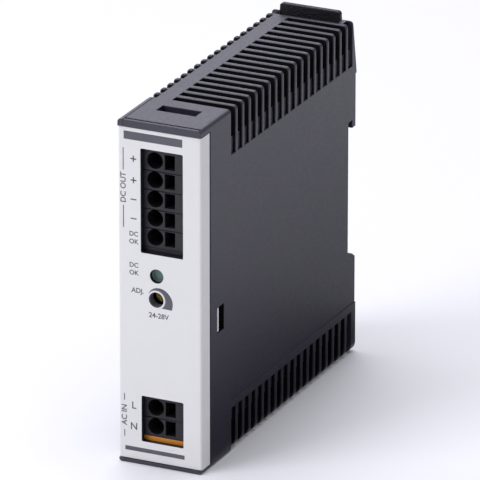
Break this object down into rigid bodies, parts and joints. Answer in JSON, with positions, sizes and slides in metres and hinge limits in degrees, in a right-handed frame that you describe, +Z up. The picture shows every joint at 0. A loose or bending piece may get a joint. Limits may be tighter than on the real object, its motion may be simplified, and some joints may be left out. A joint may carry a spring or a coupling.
{
  "type": "din rail power supply",
  "caption": "Slim grey case with ribbed vents, white front with spring terminals, status light and trimmer, and a sprung latch for a 35 mm rail.",
  "frame": {"origin": "under the middle of the unit: centre of its box in X and Y, at the level of the underside", "axes": "+Z up along the rail unit's height, -Y out of the white front, +Y towards the rail, +X to the right seen from the front"},
  "size_m": [0.0226, 0.0914, 0.0922],
  "materials": {
    "housing_plastic": "fine spark-eroded grain, dark grey",
    "cover_plastic": "fine spark-eroded grain, dark grey",
    "panel_plastic": "smooth satin, cool white, grey print",
    "latch_plastic": "coarse grain, black",
    "terminal_plastic": "satin moulded, dark grey",
    "end_plate_plastic": "satin moulded, dark grey",
    "orange_plastic": "satin moulded, orange",
    "light_pipe_plastic": "clear grey-green moulding, frosted face",
    "led_resin": "tinted resin",
    "spring_steel": "bright drawn wire and strip",
    "tinned_copper": "tinned stamped strip",
    "rotor_brass": "turned, dull",
    "trimmer_plastic": "blue moulded",
    "board_laminate": "green solder resist on glass laminate",
    "fuse_plastic": "brown moulded",
    "varistor_epoxy": "dipped blue epoxy",
    "thermistor_epoxy": "dipped dark epoxy",
    "film_capacitor_plastic": "yellow moulded",
    "ferrite": "ground ferrite, dark grey",
    "enamelled_copper": "enamelled round wire",
    "transformer_tape": "yellow polyester tape",
    "bobbin_plastic": "black moulded",
    "package_epoxy": "black moulded package",
    "heat_sink_aluminium": "mill finish",
    "capacitor_sleeve": "shrunk sleeve",
    "ceramic_epoxy": "dipped light blue epoxy",
    "optocoupler_plastic": "white moulded package"
  },
  "bodies": {
    "case": {"housing_body": "housing_plastic", "side_cover": "cover_plastic", "front_panel": "panel_plastic", "latch_spring": "spring_steel", "output_end_plate": "end_plate_plastic", "input_end_plate": "orange_plastic", "light_pipe": "light_pipe_plastic", "status_led": "led_resin", "trimmer_body": "trimmer_plastic", "circuit_board": "board_laminate", "input_fuse": "fuse_plastic", "inrush_thermistor": "thermistor_epoxy", "varistor": "varistor_epoxy", "x_capacitor": "film_capacitor_plastic", "choke_core": "ferrite", "choke_winding_1": "enamelled_copper", "choke_winding_2": "enamelled_copper", "bridge_rectifier": "package_epoxy", "bulk_capacitor_1": "capacitor_sleeve", "bulk_capacitor_2": "capacitor_sleeve", "switching_transistor": "package_epoxy", "transistor_heat_sink": "heat_sink_aluminium", "control_chip": "package_epoxy", "transformer_core": "ferrite", "transformer_bobbin": "bobbin_plastic", "transformer_winding": "transformer_tape", "y_capacitor": "ceramic_epoxy", "optocoupler": "optocoupler_plastic", "output_diode": "package_epoxy", "diode_heat_sink": "heat_sink_aluminium", "output_capacitor_1": "capacitor_sleeve", "output_capacitor_2": "capacitor_sleeve", "output_choke_core": "ferrite", "output_choke_winding": "enamelled_copper", "output_terminal_1": "terminal_plastic", "output_terminal_2": "terminal_plastic", "output_terminal_3": "terminal_plastic", "output_terminal_4": "terminal_plastic", "output_terminal_5": "terminal_plastic", "input_terminal_1": "terminal_plastic", "input_terminal_2": "terminal_plastic", "terminal_contact_1": "tinned_copper", "clamp_spring_1": "spring_steel", "terminal_contact_2": "tinned_copper", "clamp_spring_2": "spring_steel", "terminal_contact_3": "tinned_copper", "clamp_spring_3": "spring_steel", "terminal_contact_4": "tinned_copper", "clamp_spring_4": "spring_steel", "terminal_contact_5": "tinned_copper", "clamp_spring_5": "spring_steel", "terminal_contact_6": "tinned_copper", "clamp_spring_6": "spring_steel", "terminal_contact_7": "tinned_copper", "clamp_spring_7": "spring_steel"},
    "latch": {"latch_slider": "latch_plastic"},
    "trimmer": {"trimmer_rotor": "rotor_brass"}
  },
  "joints": [
    {"name": "latch_slide", "type": "slide", "parent": "case", "child": "latch", "axis": [0, 0, -1], "range_m": [0, 0.002], "stiffness_N_per_m": 500, "springref_m": -0.002, "deforming": ["latch_spring"]},
    {"name": "trimmer_turn", "type": "hinge", "parent": "case", "child": "trimmer", "pos_m": [-0.001, -0.04135, 0.04415], "axis": [0, -1, 0], "range_deg": [-135, 135]}
  ]
}
